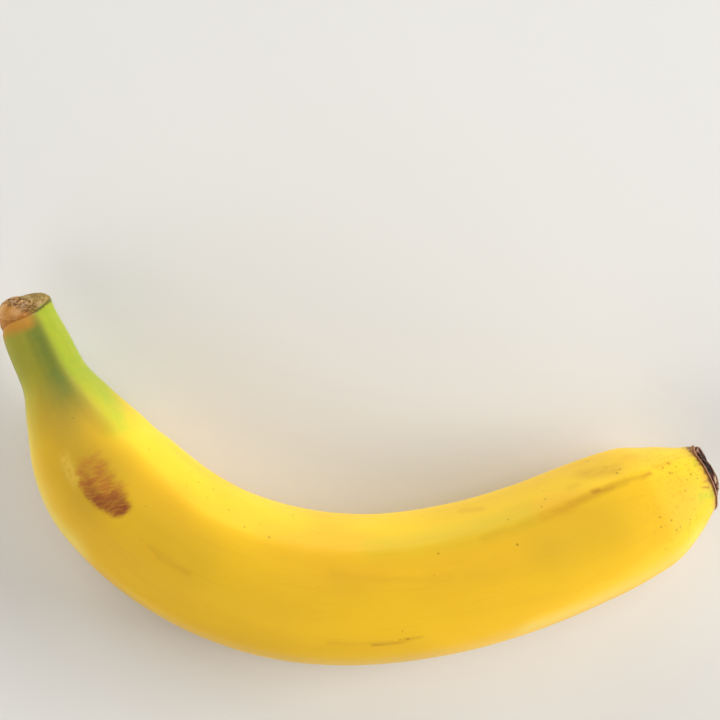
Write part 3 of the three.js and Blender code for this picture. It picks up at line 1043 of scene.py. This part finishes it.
def make_banana():
    reach = solid_reach()
    offset = ((np.array(cad_low) + np.array(cad_high)) / MM - reach.min(0) - reach.max(0)) / 2
    offset[2] = cad_high[2] / MM - reach[:, 2].max()

    distance, angle, radius, relief, facts = peel_grid()
    points = laid_down(strung(distance, angle, radius + relief), offset)
    peel = skin("banana_peel", points, facts)
    with_material(peel, banana_skin())

    distance, angle, radius, lift, swell, share, facts = cork_grid()
    points = laid_down(strung(distance + lift, angle, radius + swell), offset)
    cork = skin("stem_cork", points, facts, share)
    with_material(cork, callus_cork())

    distance, angle, radius, lift, swell, share, facts = stump_grid()
    points = laid_down(strung(distance + lift, angle, radius + swell), offset)
    stump = skin("blossom_stump", points, facts, share)
    with_material(stump, dried_flower())


# Floor, light and camera

FLOOR_HALF = 3.0  # metres
FLOOR_GAP = 0.05  # mm under the fruit


def make_floor():
    mesh = bpy.data.meshes.new("floor")
    corners = [(x * FLOOR_HALF, y * FLOOR_HALF, 0) for x, y in ((-1, -1), (1, -1), (1, 1), (-1, 1))]
    mesh.from_pydata(corners, [], [(0, 1, 2, 3)])
    mesh.materials.append(painted_floor())
    floor = bpy.data.objects.new("floor", mesh)
    floor.location.z = -FLOOR_GAP * MM
    bpy.context.scene.collection.objects.link(floor)


# The soft boxes: name, degrees from +X towards +Y, degrees over the floor, width and height in metres, watts.
# Most of the light comes in low, strongest from the right, so the facets that face up are the darker ones
SOFT_BOXES = (
    ("right_box", 0, 22, (1.2, 1.2), 48),
    ("right_back_box", 30, 22, (1.2, 1.2), 14),
    ("right_low_box", 318, 9, (1.2, 0.6), 16),
    ("back_low_box", 90, 9, (1.8, 0.6), 30),
    ("back_box", 125, 22, (1.2, 1.2), 15),
    ("left_box", 208, 22, (1.2, 1.2), 12),
    ("left_low_box", 192, 6, (1.2, 0.5), 9),
    ("front_box", 240, 38, (1.2, 1.2), 12),
    ("top_box", 0, 88, (1.2, 1.2), 8),
)
BOX_REACH = 2.2  # metres from the fruit
ROOM_LIGHT = {"colour": "#F4F3F0", "strength": 0.05}


def make_lights():
    world = bpy.data.worlds.new("studio")
    world.use_nodes = True
    background = world.node_tree.nodes["Background"]
    background.inputs["Color"].default_value = linear(ROOM_LIGHT["colour"])
    background.inputs["Strength"].default_value = ROOM_LIGHT["strength"]
    bpy.context.scene.world = world
    bpy.context.scene.view_settings.view_transform = "Standard"
    for name, azimuth, elevation, (width, height), power in SOFT_BOXES:
        light = bpy.data.lights.new(name, "AREA")
        light.shape = "RECTANGLE"
        light.size, light.size_y = width, height
        light.energy = power
        lamp = bpy.data.objects.new(name, light)
        round_it, over = math.radians(azimuth), math.radians(elevation)
        towards = (math.cos(over) * math.cos(round_it), math.cos(over) * math.sin(round_it), math.sin(over))
        lamp.location = Vector(towards) * BOX_REACH
        lamp.rotation_euler = lamp.location.to_track_quat("Z", "Y").to_euler()
        lamp.visible_camera = False
        bpy.context.scene.collection.objects.link(lamp)


# The camera looks down, from a little to the outside of the bend. Its elevation is in degrees over the floor
CAMERA_ELEVATION = 82
CAMERA_REACH = 500
CAMERA_LENS = 100
CAMERA_SENSOR = 36
AIM = (0.20, -1.12, 19)
FRUIT_BELOW_MIDDLE = 29.8  # how far above the fruit's middle the picture's middle lies


def make_camera():
    elevation = math.radians(CAMERA_ELEVATION)
    back = Vector((0, -math.cos(elevation), math.sin(elevation)))
    up = Vector((0, math.sin(elevation), math.cos(elevation)))
    data = bpy.data.cameras.new("camera")
    data.lens = CAMERA_LENS
    data.sensor_width = CAMERA_SENSOR
    camera = bpy.data.objects.new("camera", data)
    camera.location = (Vector(AIM) + back * CAMERA_REACH + up * FRUIT_BELOW_MIDDLE) * MM
    camera.rotation_euler = (math.radians(90 - CAMERA_ELEVATION), 0, 0)
    bpy.context.scene.collection.objects.link(camera)
    bpy.context.scene.camera = camera


make_camera()
make_banana()
make_floor()
make_lights()
